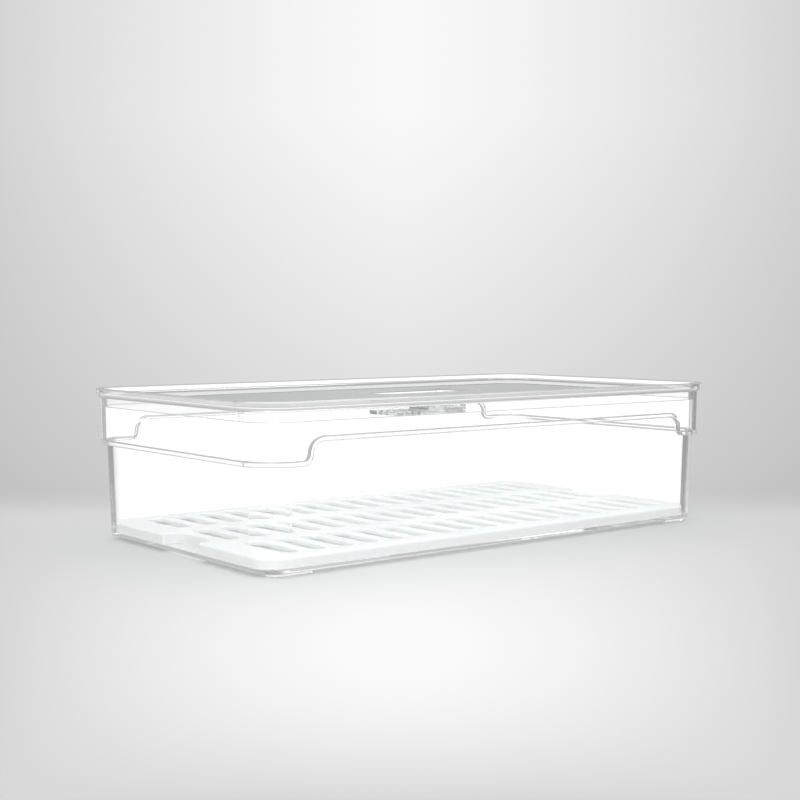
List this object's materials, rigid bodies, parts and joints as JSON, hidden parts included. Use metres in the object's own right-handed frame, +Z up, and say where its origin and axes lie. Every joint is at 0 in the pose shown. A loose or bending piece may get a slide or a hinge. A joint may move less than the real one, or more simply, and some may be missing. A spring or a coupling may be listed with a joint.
{
  "type": "fridge bin",
  "caption": "Shallow clear plastic fridge bin with a lift-off stacking lid, a sliding air vent in the lid and a lift-out slotted drain tray.",
  "frame": {"origin": "centre of the footprint, on the plane the four feet stand on", "axes": "+Z up; +X along the long side, away from the lid's air slots; -Y is the long side that faces the viewer of the bin"},
  "size_m": [0.32, 0.1786, 0.0817],
  "materials": {
    "clear_plastic": "clear, polished",
    "lid_plastic": "clear, polished",
    "vent_plastic": "clear, polished",
    "shutter_plastic": "clear with a light frost",
    "tray_plastic": "milky white, satin"
  },
  "bodies": {
    "bin": {"bin_body": "clear_plastic"},
    "lid": {"lid": "lid_plastic", "vent_frame": "vent_plastic"},
    "shutter": {"vent_shutter": "shutter_plastic"},
    "tray": {"drain_tray": "tray_plastic"}
  },
  "joints": [
    {"name": "lid_lift", "type": "slide", "parent": "bin", "child": "lid", "axis": [0, 0, 1], "range_m": [0, 0.12]},
    {"name": "vent_slide", "type": "slide", "parent": "lid", "child": "shutter", "axis": [-1, 0, 0], "range_m": [0, 0.025]},
    {"name": "tray_lift", "type": "slide", "parent": "bin", "child": "tray", "axis": [0, 0, 1], "range_m": [0, 0.05]}
  ]
}
